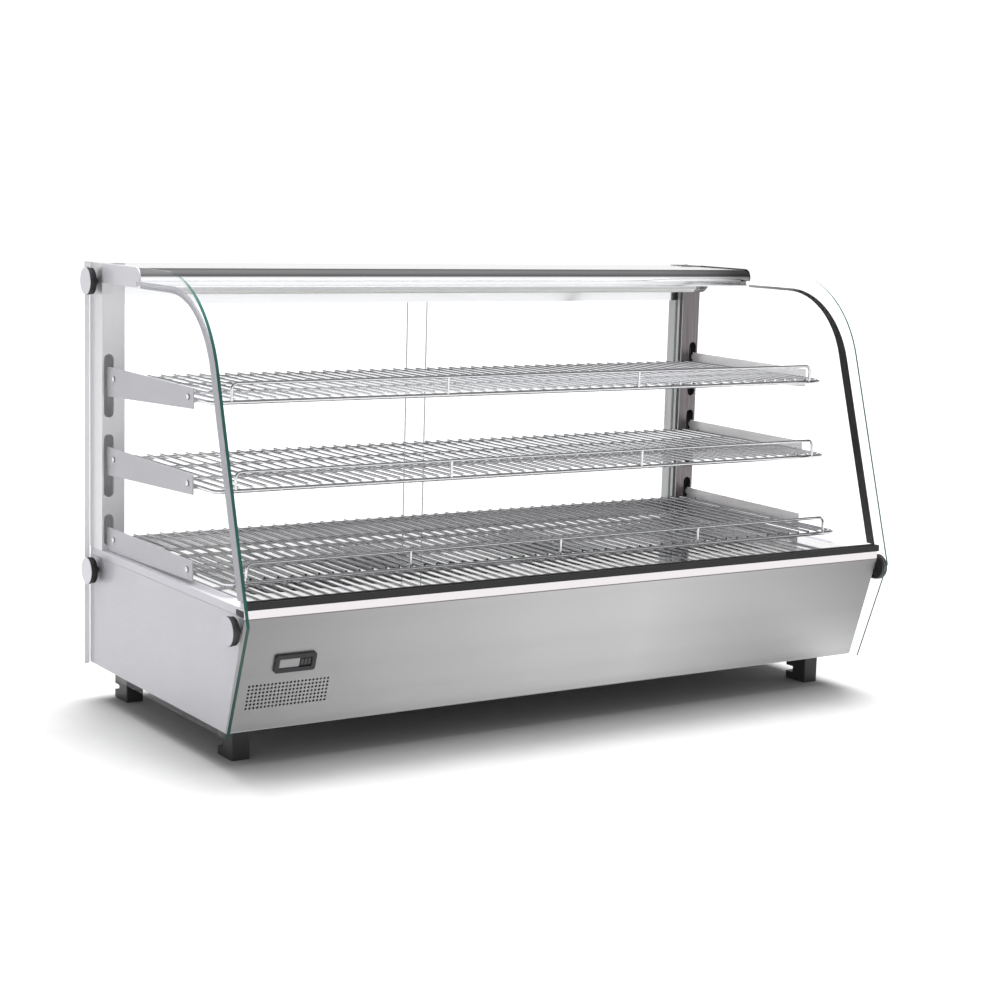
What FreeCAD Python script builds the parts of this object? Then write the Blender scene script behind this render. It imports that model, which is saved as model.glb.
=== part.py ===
import FreeCAD, Part
import math
import os

# Counter-top hot food display case.
# Millimetres. +X runs along the long front, +Y runs from the front to the serving side at the back,
# +Z is up. The origin is on the counter, under the middle of the case.

# ---- driving dimensions -------------------------------------------------------------------------
WIDTH = 1200.0
DEPTH = 568.0
HEIGHT = 686.0
FOOT_HEIGHT = 52.0

FRONT_Y = -DEPTH / 2
REAR_Y = DEPTH / 2
BASE_Z = FOOT_HEIGHT            # lower edge of the side glass

# side glass
SIDE_GLASS = 8.0
SIDE_GLASS_OUT = 588.5          # half distance over the two outer glass faces
SIDE_GLASS_IN = SIDE_GLASS_OUT - SIDE_GLASS
GLASS_FOOT_Y = FRONT_Y + 60.0   # where the lower front edge of the glass starts
KINK_Z = BASE_Z + 167.0         # the foremost point of the case
LEAN = math.radians(16.8)       # how far the front leans back from upright
SIDE_GLASS_RADIUS = 181.0

# curved front glass
FRONT_GLASS = 6.0
FRONT_GLASS_INSET = 9.0
FRONT_GLASS_TOP_Z = HEIGHT - 21.0
FRONT_GLASS_RADIUS = 160.0
FRONT_GLASS_HALF = 579.5
EDGE_SEAL_TOP = 4.0             # how deep the strip is where the glass lies flat
EDGE_SEAL_DEPTH = 15.0          # and where it runs down the lean
EDGE_SEAL_WIDTH = 3.0

# sheet metal base
SHEET = 1.2
BASE_HALF = 580.0
INNER_HALF = 578.0              # rear panel and pan fit between the side panels
DECK_Z = BASE_Z + 188.4         # top of the hot deck
DECK_FRONT_Y = REAR_Y - 537.0
FOLD_Y = REAR_Y - 549.5
FOLD_Z = BASE_Z + 173.5
PANEL_FOOT_Y = REAR_Y - 496.3
PANEL_FOOT_Z = BASE_Z + 3.0
PANEL_TOP_Z = DECK_Z - 1.4
REAR_PANEL_Y = REAR_Y - 6.0
PAN_Z = BASE_Z + 1.5
PAN_SHEET = 1.5
TOP_FLANGE = 26.0               # the front panel's flange under the deck
FOOT_FLANGE = 16.0              # and the one under the pan
SIDE_PANEL_TOP_Z = BASE_Z + 176.3
REAR_FLANGE = 24.0
LOUVRES = (10, 4)               # columns and rows in the rear panel
LOUVRE_START = (-450.0, BASE_Z + 40.0)
LOUVRE_PITCH = (84.0, 14.0)
LOUVRE_SIZE = (60.0, 4.0)
BOLT_HOLE = 3.2                 # radius

# air slots in the deck
SLOT_WIDTH = 10.0
SLOT_FRONT_Y = REAR_Y - 461.0
SLOT_REAR_Y = REAR_Y - 253.0
SLOT_PITCH = 21.5
SLOTS_PER_BANK = 21
SLOT_BANK_STARTS = (-518.0, -25.0)
BANK_LENGTH = SLOT_PITCH * (SLOTS_PER_BANK - 1)
BANK_CENTRES = tuple(start + BANK_LENGTH / 2 for start in SLOT_BANK_STARTS)

# canopy
CANOPY_Z = HEIGHT - 30.0
CANOPY_TOP_Z = HEIGHT - 1.6      # the end plates stand a little proud of the top
CANOPY_HALF = 578.0
CANOPY_FRONT_Y = REAR_Y - 192.0
NOSE_BACK_Y = CANOPY_FRONT_Y + 21.0
CANOPY_WALL = 1.8

# rear posts
POST_IN = 543.0
POST_FRONT_Y = REAR_Y - 50.0
JAMB_IN = 548.0
JAMB_FRONT_Y = REAR_Y - 36.0
POST_WALL = 1.6

# sliding doors
DOOR_GLASS = 4.0
DOOR_OVERLAP = 46.0
DOOR_END = JAMB_IN - 1.0
OUTER_DOOR_Y = REAR_Y - 10.25
INNER_DOOR_Y = REAR_Y - 23.75
DOOR_Z0 = DECK_Z + 5.6
DOOR_Z1 = CANOPY_Z - 15.0
TRACK_TOP_Z0 = CANOPY_Z - 34.0
TRACK_RIB = 3.0
GROOVE = 10.5

# wire shelves: front edge measured from the back of the case, and height of the frame wire;
# "drop" is how far its brackets reach below the frame wire, at the post and at the tip
SHELVES = {
    "top": {"front": 409.5, "z": BASE_Z + 455.6, "uprights": (-178.0, 178.0), "drop": (26.0, 13.0)},
    "middle": {"front": 425.0, "z": BASE_Z + 331.5, "uprights": (-178.0, 178.0), "drop": (24.0, 12.0)},
    "bottom": {"front": 462.0, "z": BASE_Z + 206.2, "uprights": (-268.0, 0.0, 268.0), "drop": (17.5, 11.5)},
}
SHELF_HALF = 564.5              # centre line of the frame wire
SHELF_BACK = 56.0
FRAME_WIRE = 3.0
GRID_WIRE = 2.0
CROSS_WIRE = 2.5
GUARD_WIRE = 2.3
GRID_PITCH = 22.0
GRID_WIRES = 51
GUARD_HALF = 535.0
GUARD_RISE = 27.0
WELD = 0.8                      # how deep two welded wires sink into each other

# shelf brackets
ARM_IN = 569.5
ARM_OUT = 571.5
ARM_FRONT = 362.0
PILL_X = 569.0
PILL_WIDTH = 16.0
PILL_RISE = 39.0
PILL_DROP = 59.0

# round glass fixings: distance from the back, height
FIXINGS = ((30.0, HEIGHT - 28.5), (34.0, BASE_Z + 156.0), (535.0, BASE_Z + 157.0))
CAP_RADIUS = 21.0
CAP_EDGE = 1.6
WASHER_THICK = 5.5
STUD_RADIUS = 4.0
STUD_HOLE = 4.2
GLASS_HOLE = 5.5

# controller on the sloping front: place along the front and down the slope from the fold
PANEL_CENTRE_X = -490.5
PANEL_DOWN = 74.0
BEZEL = (64.0, 28.0, 4.0)
BEZEL_RIM = 6.5
BEZEL_FLOOR = 1.2
WINDOW_LENGTH = 33.0
KEY = (4.4, 9.0)
KEY_CENTRES = (11.0, 16.7, 22.4)
KEY_GAP = 0.25
VENT_CENTRE_X = -493.5
VENT_DOWN = 124.5
VENT_PITCH = 5.9
VENT_RADIUS = 1.8
VENT_COLUMNS = 22
VENT_ROWS = 7

# feet
FOOT = (28.0, 48.0)
FOOT_NOTCH = (12.0, 22.0)       # its low and high z
FOOT_X = 535.0
FOOT_DISTANCES = (428.0, 51.0)  # centre of each pair, from the back

# heating and fans
TRAY_Z = BASE_Z + 118.0
TRAY_SHEET = 1.0
TRAY_HALF = 560.0
TRAY_FRONT = 478.0
TRAY_BACK = 60.0
HEATER_RADIUS = 4.0
HEATER_Z = BASE_Z + 150.0
HEATER_HALF = 180.0
HEATER_LEGS = (330.0, 400.0)
FAN_BACK = 170.0
FAN_SIZE = 92.0
FAN_THICK = 25.0
FAN_BORE = 43.0
FAN_TIP = 41.5
FAN_HUB = 17.0
FAN_BLADES = 7
BLADE_WIDTH = 15.0
BLADE_PITCH = 35.0              # degrees
STRUT = 4.0
PROBE_X = 50.0
PROBE_Z = TRAY_Z + 48.0
PROBE_REACH = 55.0
TERMINAL_X = 300.0
TERMINAL_WAYS = 6
TERMINAL_PITCH = 12.0

# lamp under the canopy
LAMP_HALF = 500.0
LAMP_BACK = 116.0
LAMP_DEPTH = 24.0
LAMP_HOUSING = 8.0
LAMP_DIFFUSER = 5.0

# rear panel fittings
SWITCH_X = 420.0
SWITCH_Z = BASE_Z + 110.0
SWITCH_BODY = (10.0, 12.0)      # half width, half height
SWITCH_FLANGE = (13.0, 15.0)
ROCKER_WIDTH = 11.4
ROCKER_TILT = 10.0
ROCKER_PIVOT_Y = REAR_Y - 6.5
INLET_X = 480.0
INLET_Z = BASE_Z + 110.0
INLET_BODY = (14.0, 10.0)
INLET_FLANGE = (17.0, 14.0)
INLET_WELL = (12.0, 8.0)
CUT_SLACK = 0.2                 # clearance round a fitting in the sheet


# ---- small helpers ------------------------------------------------------------------------------
def vec(x, y, z):
    return FreeCAD.Vector(x, y, z)


def block(x0, x1, y0, y1, z0, z1):
    """A box between two corners, given in any order."""
    low = vec(min(x0, x1), min(y0, y1), min(z0, z1))
    return Part.makeBox(abs(x1 - x0), abs(y1 - y0), abs(z1 - z0), low)


def rod(start, direction, length, radius):
    return Part.makeCylinder(radius, length, start, direction)


def prism_x(outline, x0, x1):
    """A closed (y, z) polygon pushed along X."""
    points = [vec(x0, y, z) for y, z in outline]
    face = Part.Face(Part.makePolygon(points + points[:1]))
    return face.extrude(vec(x1 - x0, 0, 0))


def prism_z(outline, z0, z1):
    """A closed (x, y) polygon pushed along Z."""
    points = [vec(x, y, z0) for x, y in outline]
    face = Part.Face(Part.makePolygon(points + points[:1]))
    return face.extrude(vec(0, 0, z1 - z0))


def folded_sheet(path, thickness, x0, x1):
    """Sheet metal folded along a (y, z) path; the sheet lies to the right of the path's direction."""
    normals = []
    for (ya, za), (yb, zb) in zip(path, path[1:]):
        length = math.hypot(yb - ya, zb - za)
        normals.append(((zb - za) / length, -(yb - ya) / length))
    inner = []
    for i, (y, z) in enumerate(path):
        before = normals[max(i - 1, 0)]
        after = normals[min(i, len(normals) - 1)]
        spread = 1.0 + before[0] * after[0] + before[1] * after[1]
        inner.append((y + thickness * (before[0] + after[0]) / spread,
                      z + thickness * (before[1] + after[1]) / spread))
    return prism_x(list(path) + inner[::-1], x0, x1)


def bent_wire(points, bend, radius):
    """A round wire along straight runs, with a bend of the given radius at each inner point."""
    edges = []
    start = points[0]
    for before, corner, after in zip(points, points[1:], points[2:]):
        into = (corner - before).normalize()
        out = (after - corner).normalize()
        half = into.getAngle(out) / 2
        cut = bend * math.tan(half)
        first = corner - into * cut
        last = corner + out * cut
        middle = corner + (out - into).normalize() * (bend / math.cos(half) - bend)
        edges.append(Part.LineSegment(start, first).toShape())
        edges.append(Part.Arc(first, middle, last).toShape())
        start = last
    edges.append(Part.LineSegment(start, points[-1]).toShape())
    heading = (points[1] - points[0]).normalize()
    section = Part.Wire([Part.Circle(points[0], heading, radius).toShape()])
    return Part.Wire(edges).makePipeShell([section], True, False)


def fused(shapes):
    return shapes[0].fuse(shapes[1:]).removeSplitter()


def mirrored(shape):
    """The same piece on the other side of the case."""
    return shape.mirror(vec(0, 0, 0), vec(1, 0, 0))


def on_side(shape, side):
    """Pieces are drawn for the +X side; side -1 mirrors them."""
    return shape if side > 0 else mirrored(shape)


def save(name, shape):
    shape.exportStep("parts/" + name + ".step")


# ---- the leaning, curved front ------------------------------------------------------------------
def front_curve(top_z, radius, inset, back_y, foot_z):
    """Points of a line that is flat at the top, bends over the front and runs down the lean."""
    centre_z = top_z - radius
    centre_y = FRONT_Y + (inset + radius + (centre_z - KINK_Z) * math.sin(LEAN)) / math.cos(LEAN)
    half_turn = math.radians(45.0) - LEAN / 2

    def on_arc(turn):
        return (centre_y - radius * math.sin(turn), centre_z + radius * math.cos(turn))

    foot_y = FRONT_Y + inset / math.cos(LEAN) + (foot_z - KINK_Z) * math.tan(LEAN)
    return [(back_y, top_z), (centre_y, top_z), on_arc(half_turn), on_arc(2 * half_turn), (foot_y, foot_z)]


def curve_edges(curve, x):
    back, top, middle, tangent, foot = [vec(x, y, z) for y, z in curve]
    return [Part.LineSegment(back, top).toShape(),
            Part.Arc(top, middle, tangent).toShape(),
            Part.LineSegment(tangent, foot).toShape()]


def between_curves(outer, inner, x0, x1):
    """The solid between two front curves."""
    edges = curve_edges(outer, x0) + curve_edges(inner, x0)
    for i in (0, -1):
        edges.append(Part.LineSegment(vec(x0, *outer[i]), vec(x0, *inner[i])).toShape())
    wire = Part.Wire(Part.__sortEdges__(edges))
    return Part.Face(wire).extrude(vec(x1 - x0, 0, 0))


def side_glass():
    curve = front_curve(HEIGHT, SIDE_GLASS_RADIUS, 0.0, REAR_Y, KINK_Z)
    corners = [vec(SIDE_GLASS_IN, y, z) for y, z in
               (curve[-1], (GLASS_FOOT_Y, BASE_Z), (REAR_Y, BASE_Z), curve[0])]
    edges = curve_edges(curve, SIDE_GLASS_IN)
    edges += [Part.LineSegment(a, b).toShape() for a, b in zip(corners, corners[1:])]
    pane = Part.Face(Part.Wire(Part.__sortEdges__(edges))).extrude(vec(SIDE_GLASS, 0, 0))
    holes = [rod(vec(SIDE_GLASS_IN - 1, REAR_Y - back, z), vec(1, 0, 0), SIDE_GLASS + 2, GLASS_HOLE)
             for back, z in FIXINGS]
    return pane.cut(holes)


def glass_curve(depth_top, depth, back_y, foot_z):
    """The curve that lies below the outer face of the front glass, by one depth at its flat top and
    by another down the lean."""
    return front_curve(FRONT_GLASS_TOP_Z - depth_top, FRONT_GLASS_RADIUS - depth, FRONT_GLASS_INSET + depth,
                       back_y, foot_z)


def front_glass():
    ends = (CANOPY_FRONT_Y + 11.0, DECK_Z + 1.0)
    return between_curves(glass_curve(0.0, 0.0, *ends), glass_curve(FRONT_GLASS, FRONT_GLASS, *ends),
                          -FRONT_GLASS_HALF, FRONT_GLASS_HALF)


def edge_seal():
    """The strip along the side of the front glass, on its inner face; it grows deeper down the curve."""
    ends = (CANOPY_FRONT_Y - 0.5, DECK_Z + 9.0)
    inner = glass_curve(FRONT_GLASS + EDGE_SEAL_TOP, FRONT_GLASS + EDGE_SEAL_DEPTH, *ends)
    return between_curves(glass_curve(FRONT_GLASS, FRONT_GLASS, *ends), inner,
                          FRONT_GLASS_HALF - EDGE_SEAL_WIDTH, FRONT_GLASS_HALF)


def sill_seal():
    """Black gasket that the front glass stands in."""
    top = DECK_Z + 8.6
    gasket = block(-BASE_HALF, BASE_HALF, FOLD_Y - 4.5, DECK_FRONT_Y - 0.2, PANEL_TOP_Z, top)
    return gasket.cut(front_glass())


# ---- round glass fixings ------------------------------------------------------------------------
def glass_cap(side, back, z):
    """Steel disc with its stud, on the outside of the side glass."""
    y = REAR_Y - back
    disc_x = SIDE_GLASS_OUT + WASHER_THICK
    disc = rod(vec(disc_x, y, z), vec(1, 0, 0), WIDTH / 2 - disc_x, CAP_RADIUS)
    outer_edge = [e for e in disc.Edges if e.Length > 6 * CAP_RADIUS and e.BoundBox.XMin > WIDTH / 2 - 0.1]
    disc = disc.makeFillet(CAP_EDGE, outer_edge)
    stud = rod(vec(SIDE_GLASS_IN - 4.0, y, z), vec(1, 0, 0), disc_x - SIDE_GLASS_IN + 4.5, STUD_RADIUS)
    return on_side(disc.fuse(stud), side)


def glass_washer(side, back, z):
    y = REAR_Y - back
    ring = rod(vec(SIDE_GLASS_OUT, y, z), vec(1, 0, 0), WASHER_THICK, CAP_RADIUS - 0.8)
    hole = rod(vec(SIDE_GLASS_OUT - 1, y, z), vec(1, 0, 0), WASHER_THICK + 2, STUD_RADIUS)
    return on_side(ring.cut(hole), side)


def stud_holes(side):
    """What the fixing studs need to pass through a panel or a post."""
    return [on_side(rod(vec(SIDE_GLASS_IN - 6, REAR_Y - back, z), vec(1, 0, 0), 8, STUD_HOLE), side)
            for back, z in FIXINGS]


# ---- sheet metal base ---------------------------------------------------------------------------
SLOPE_LENGTH = math.hypot(PANEL_FOOT_Y - FOLD_Y, FOLD_Z - PANEL_FOOT_Z)
SLOPE_DOWN = vec(0, (PANEL_FOOT_Y - FOLD_Y) / SLOPE_LENGTH, (PANEL_FOOT_Z - FOLD_Z) / SLOPE_LENGTH)
SLOPE_TURN = math.degrees(math.atan2(-SLOPE_DOWN.z, -SLOPE_DOWN.y))


def on_slope(shape, x, down):
    """Place a piece drawn flat (Y up the slope, Z outwards) on the sloping front."""
    placed = shape.copy()
    placed.rotate(vec(0, 0, 0), vec(1, 0, 0), SLOPE_TURN)
    placed.translate(vec(x, FOLD_Y, FOLD_Z) + SLOPE_DOWN * down)
    return placed


def flat_plate(length, height, z0, z1, corner):
    """A plate with rounded corners, centred on its own origin."""
    plate = block(-length / 2, length / 2, -height / 2, height / 2, z0, z1)
    uprights = [e for e in plate.Edges if abs(e.Length - (z1 - z0)) < 1e-6]
    return plate.makeFillet(corner, uprights)


def front_panel():
    path = [(FOLD_Y + TOP_FLANGE, PANEL_TOP_Z), (FOLD_Y, PANEL_TOP_Z), (FOLD_Y, FOLD_Z),
            (PANEL_FOOT_Y, PANEL_FOOT_Z), (PANEL_FOOT_Y + FOOT_FLANGE, PANEL_FOOT_Z)]
    panel = folded_sheet(path[::-1], SHEET, -BASE_HALF, BASE_HALF)
    window = on_slope(block(-28.5, 28.5, -12.5, 12.5, -4, 4), PANEL_CENTRE_X, PANEL_DOWN)
    holes = []
    for row in range(VENT_ROWS):
        for column in range(VENT_COLUMNS):
            across = (column - (VENT_COLUMNS - 1) / 2) * VENT_PITCH
            up = (row - (VENT_ROWS - 1) / 2) * VENT_PITCH
            hole = rod(vec(across, up, -4), vec(0, 0, 1), 8, VENT_RADIUS)
            holes.append(on_slope(hole, VENT_CENTRE_X, VENT_DOWN))
    return panel.cut([window] + holes)


def side_panel(side):
    slack = SHEET + 0.3
    flange_end = PANEL_FOOT_Y + FOOT_FLANGE + 0.3
    above_flange = PANEL_FOOT_Z + SHEET + 0.2
    rear = REAR_Y - 2.0
    outline = [(rear, PANEL_FOOT_Z), (flange_end, PANEL_FOOT_Z), (flange_end, above_flange),
               (PANEL_FOOT_Y + slack, above_flange), (FOLD_Y + slack, FOLD_Z),
               (FOLD_Y + slack, SIDE_PANEL_TOP_Z), (rear, SIDE_PANEL_TOP_Z)]
    panel = prism_x(outline, BASE_HALF - SHEET, BASE_HALF)
    return on_side(panel, side).cut(stud_holes(side))


def sheet_opening(x, z, half):
    """Cutter for a fitting's body in the rear panel."""
    half_x = half[0] + CUT_SLACK
    half_z = half[1] + CUT_SLACK
    return block(x - half_x, x + half_x, REAR_Y, REAR_Y - 12, z - half_z, z + half_z)


def rear_panel():
    path = [(REAR_PANEL_Y - REAR_FLANGE, PANEL_TOP_Z), (REAR_PANEL_Y, PANEL_TOP_Z), (REAR_PANEL_Y, PAN_Z)]
    panel = folded_sheet(path, SHEET, -INNER_HALF, INNER_HALF)
    cuts = [sheet_opening(SWITCH_X, SWITCH_Z, SWITCH_BODY), sheet_opening(INLET_X, INLET_Z, INLET_BODY)]
    columns, rows = LOUVRES
    for column in range(columns):
        for row in range(rows):
            x = LOUVRE_START[0] + LOUVRE_PITCH[0] * column
            z = LOUVRE_START[1] + LOUVRE_PITCH[1] * row
            cuts.append(block(x, x + LOUVRE_SIZE[0], REAR_Y, REAR_Y - 12, z, z + LOUVRE_SIZE[1]))
    return panel.cut(cuts)


def base_pan():
    pan = block(-INNER_HALF, INNER_HALF, PANEL_FOOT_Y + 2.0, REAR_PANEL_Y - SHEET - 0.1,
                PAN_Z, PAN_Z + PAN_SHEET)
    holes = []
    for x in (-FOOT_X, FOOT_X):
        for back in FOOT_DISTANCES:
            holes.append(rod(vec(x, REAR_Y - back, PAN_Z - 1), vec(0, 0, 1), 5, BOLT_HOLE))
    return pan.cut(holes)


def slot_cutter(x):
    radius = SLOT_WIDTH / 2
    z0 = DECK_Z - 5
    y0 = SLOT_FRONT_Y + radius
    y1 = SLOT_REAR_Y - radius
    ends = [rod(vec(x, y, z0), vec(0, 0, 1), 8, radius) for y in (y0, y1)]
    middle = block(x - radius, x + radius, y0, y1, z0, z0 + 8)
    return middle.fuse(ends).removeSplitter()


def deck_plate():
    """Polished deck with its air slots, turned down along both sides."""
    half = BASE_HALF - 0.5
    rear = REAR_Y - 2.0
    flange_front = FOLD_Y + TOP_FLANGE + 0.5
    flange_foot = SIDE_PANEL_TOP_Z + 0.3
    pieces = [block(-half, half, DECK_FRONT_Y, rear, PANEL_TOP_Z, DECK_Z)]
    for side in (-1, 1):
        pieces.append(block(side * half, side * (half - SHEET), flange_front, rear, flange_foot, DECK_Z))
    slots = [slot_cutter(start + SLOT_PITCH * i) for start in SLOT_BANK_STARTS for i in range(SLOTS_PER_BANK)]
    return fused(pieces).cut(slots)


def feet():
    """Four moulded blocks, each with a notch low on its back edge."""
    length_x, length_y = FOOT
    blocks = []
    for x in (-FOOT_X, FOOT_X):
        for back in FOOT_DISTANCES:
            y = REAR_Y - back
            foot = block(x - length_x / 2, x + length_x / 2, y - length_y / 2, y + length_y / 2, 0, PAN_Z)
            uprights = [e for e in foot.Edges if abs(e.Length - PAN_Z) < 1e-6]
            foot = foot.makeFillet(2.0, uprights)
            notch = block(x - length_x, x + length_x, y + 6.0, y + length_y / 2 + 1, *FOOT_NOTCH)
            recess = rod(vec(x, y - 6.0, -1), vec(0, 0, 1), 7.0, 7.0)
            bolt_hole = rod(vec(x, y, PAN_Z - 30), vec(0, 0, 1), 31, BOLT_HOLE)
            blocks.append(foot.cut([notch, recess, bolt_hole]))
    return Part.makeCompound(blocks)


# ---- canopy, posts and door tracks --------------------------------------------------------------
def rear_corner_cuts():
    """Room for the posts at the two rear corners of the canopy."""
    return [block(side * (POST_IN - 0.5), side * (WIDTH / 2), POST_FRONT_Y - 0.5, REAR_Y + 1,
                  CANOPY_Z - 1, HEIGHT + 1) for side in (-1, 1)]


def canopy():
    """Hollow top profile behind the rounded nose."""
    rear = REAR_Y - 1.0
    front = NOSE_BACK_Y + 1.0
    outer = block(-CANOPY_HALF, CANOPY_HALF, front, rear, CANOPY_Z, CANOPY_TOP_Z)
    middle = (front + rear) / 2
    low = CANOPY_Z + CANOPY_WALL
    high = CANOPY_TOP_Z - CANOPY_WALL
    cells = [block(-WIDTH, WIDTH, front + CANOPY_WALL, middle - 1, low, high),
             block(-WIDTH, WIDTH, middle + 1, rear - CANOPY_WALL, low, high)]
    return outer.cut(cells).cut(rear_corner_cuts())


def nose_solid(x0, x1, back_y, top_z):
    """A bar from the canopy front back to back_y, with a half round front."""
    radius = (top_z - CANOPY_Z) / 2
    round_y = CANOPY_FRONT_Y + radius
    front = rod(vec(x0, round_y, top_z - radius), vec(1, 0, 0), x1 - x0, radius)
    half_round = front.common(block(x0, x1, CANOPY_FRONT_Y, round_y, CANOPY_Z, top_z))
    return fused([half_round, block(x0, x1, round_y, back_y, CANOPY_Z, top_z)])


def canopy_nose():
    """Rounded front profile, with the groove that holds the top edge of the front glass."""
    nose = nose_solid(-CANOPY_HALF, CANOPY_HALF, NOSE_BACK_Y, CANOPY_TOP_Z)
    groove = block(-WIDTH, WIDTH, CANOPY_FRONT_Y - 1, CANOPY_FRONT_Y + 12.0,
                   FRONT_GLASS_TOP_Z - FRONT_GLASS - 0.3, FRONT_GLASS_TOP_Z + 0.3)
    return nose.cut(groove)


def canopy_end_caps():
    caps = []
    for side in (-1, 1):
        cap = nose_solid(CANOPY_HALF, BASE_HALF, POST_FRONT_Y - 0.5, HEIGHT)
        groove = block(0, WIDTH, CANOPY_FRONT_Y - 1, CANOPY_FRONT_Y + 12.0,
                       FRONT_GLASS_TOP_Z - FRONT_GLASS - 0.3, FRONT_GLASS_TOP_Z + 0.3)
        caps.append(on_side(cap.cut(groove), side))
    return Part.makeCompound(caps)


def pill_slot(centre_x, z0, z1):
    radius = PILL_WIDTH / 2
    y0 = POST_FRONT_Y - 2
    depth = POST_WALL + 4
    ends = [rod(vec(centre_x, y0, z), vec(0, 1, 0), depth, radius) for z in (z0 + radius, z1 - radius)]
    middle = block(centre_x - radius, centre_x + radius, y0, y0 + depth, z0 + radius, z1 - radius)
    return middle.fuse(ends)


def post(side):
    """Hollow rear upright: a door jamb at the back, a slotted face for the brackets at the front."""
    outline = [(BASE_HALF, REAR_Y - 1.0), (JAMB_IN, REAR_Y - 1.0), (JAMB_IN, JAMB_FRONT_Y),
               (JAMB_IN + 10.0, JAMB_FRONT_Y), (JAMB_IN + 10.0, JAMB_FRONT_Y - 5.0),
               (POST_IN, JAMB_FRONT_Y - 5.0), (POST_IN, POST_FRONT_Y), (BASE_HALF, POST_FRONT_Y)]
    top = HEIGHT - 0.5
    wall = POST_WALL
    neck = JAMB_IN + 10.0
    shell = prism_z(outline, DECK_Z, top)
    spans = [(JAMB_IN, REAR_Y - 1.0 - wall, JAMB_FRONT_Y + wall),
             (neck, POST_FRONT_Y + wall, JAMB_FRONT_Y + wall + 1.0),
             (POST_IN, POST_FRONT_Y + wall, JAMB_FRONT_Y - 5.0 - wall)]
    cells = [block(x + wall, BASE_HALF - wall, y0, y1, 0, top - 2.0) for x, y0, y1 in spans]
    slots = []
    for shelf in SHELVES.values():
        bottom = max(shelf["z"] - PILL_DROP, DECK_Z + 8.0)
        slots.append(pill_slot(PILL_X, bottom, shelf["z"] + PILL_RISE))
    hollow = shell.cut(cells).cut(slots)
    return on_side(hollow, side).cut(stud_holes(side))


def groove_ribs():
    """(low y, high y) of the three ribs that make a pair of door grooves."""
    middle = (OUTER_DOOR_Y + INNER_DOOR_Y) / 2
    half = TRACK_RIB / 2
    return [(middle + half + GROOVE, middle + half + GROOVE + 2.0), (middle - half, middle + half),
            (middle - half - GROOVE - 2.0, middle - half - GROOVE)]


def door_track(plate_z0, plate_z1, rib_z0, rib_z1):
    half = JAMB_IN - 0.5
    ribs = groove_ribs()
    pieces = [block(-half, half, ribs[-1][0], ribs[0][1], plate_z0, plate_z1)]
    for y0, y1 in ribs:
        pieces.append(block(-half, half, y0, y1, rib_z0, rib_z1))
    return fused(pieces)


# ---- sliding doors ------------------------------------------------------------------------------
def door_span(side):
    """Low and high x of a closed door: side -1 is the left one."""
    inner = DOOR_OVERLAP / 2
    return (-DOOR_END, inner) if side < 0 else (-inner, DOOR_END)


def door_plane(side):
    return OUTER_DOOR_Y if side < 0 else INNER_DOOR_Y


def door_glass(side):
    x0, x1 = door_span(side)
    y = door_plane(side)
    return block(x0, x1, y - DOOR_GLASS / 2, y + DOOR_GLASS / 2, DOOR_Z0, DOOR_Z1)


def door_handle(side):
    """Low finger pull on the serving side, thin enough to pass behind the other door."""
    x = side * (DOOR_END - 17.0)
    back = door_plane(side) + DOOR_GLASS / 2
    plate = block(x - 10.0, x + 10.0, back, back + 2.0, BASE_Z + 340.0, BASE_Z + 440.0)
    lip_x = x + side * 8.0
    lip = block(lip_x - 2.0, lip_x + 2.0, back + 2.0, back + 5.5, BASE_Z + 340.0, BASE_Z + 440.0)
    return fused([plate, lip])


def door_glides(side):
    """Two plastic shoes under the glass that run in the bottom groove."""
    x0, x1 = door_span(side)
    y = door_plane(side)
    half = GROOVE / 2 - 0.5
    shoes = []
    for start in (x0 + 20.0, x1 - 60.0):
        shoe = block(start, start + 40.0, y - half, y + half, DECK_Z + 2.4, DOOR_Z0 + 6.0)
        shoes.append(shoe.cut(door_glass(side)))
    return Part.makeCompound(shoes)


# ---- wire shelves and their brackets ------------------------------------------------------------
def shelf_frame(shelf):
    """The closed loop of thick wire round a shelf, with rounded corners."""
    front = REAR_Y - shelf["front"]
    back = REAR_Y - SHELF_BACK
    z = shelf["z"]
    half = bent_wire([vec(0, front, z), vec(SHELF_HALF, front, z), vec(SHELF_HALF, back, z), vec(0, back, z)],
                     14.0, FRAME_WIRE)
    return fused([half, mirrored(half)])


def shelf_grid(shelf):
    """The frame, the wires that run front to back on top of it, and two cross wires under them."""
    front = REAR_Y - shelf["front"]
    back = REAR_Y - SHELF_BACK
    z_grid = shelf["z"] + FRAME_WIRE + GRID_WIRE - WELD
    z_cross = z_grid - GRID_WIRE - CROSS_WIRE + WELD
    pieces = [shelf_frame(shelf)]
    for i in range(GRID_WIRES):
        x = (i - (GRID_WIRES - 1) / 2) * GRID_PITCH
        pieces.append(rod(vec(x, front + 1.0, z_grid), vec(0, 1, 0), back - front, GRID_WIRE))
    for share in (0.36, 0.70):
        y = front + share * (back - front)
        pieces.append(rod(vec(-SHELF_HALF, y, z_cross), vec(1, 0, 0), 2 * SHELF_HALF, CROSS_WIRE))
    return fused(pieces)


def shelf_guard(shelf):
    """The low rail along the front of a shelf, with its uprights."""
    y = REAR_Y - shelf["front"] - 1.5
    foot = shelf["z"] + FRAME_WIRE - 1.0
    rail_z = shelf["z"] + GUARD_RISE
    rail = bent_wire([vec(-GUARD_HALF, y, foot), vec(-GUARD_HALF, y, rail_z),
                      vec(GUARD_HALF, y, rail_z), vec(GUARD_HALF, y, foot)], 9.0, GUARD_WIRE)
    uprights = [rod(vec(x, y, foot), vec(0, 0, 1), rail_z - foot, GUARD_WIRE) for x in shelf["uprights"]]
    return fused([rail] + uprights).cut(shelf_frame(shelf))


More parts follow.
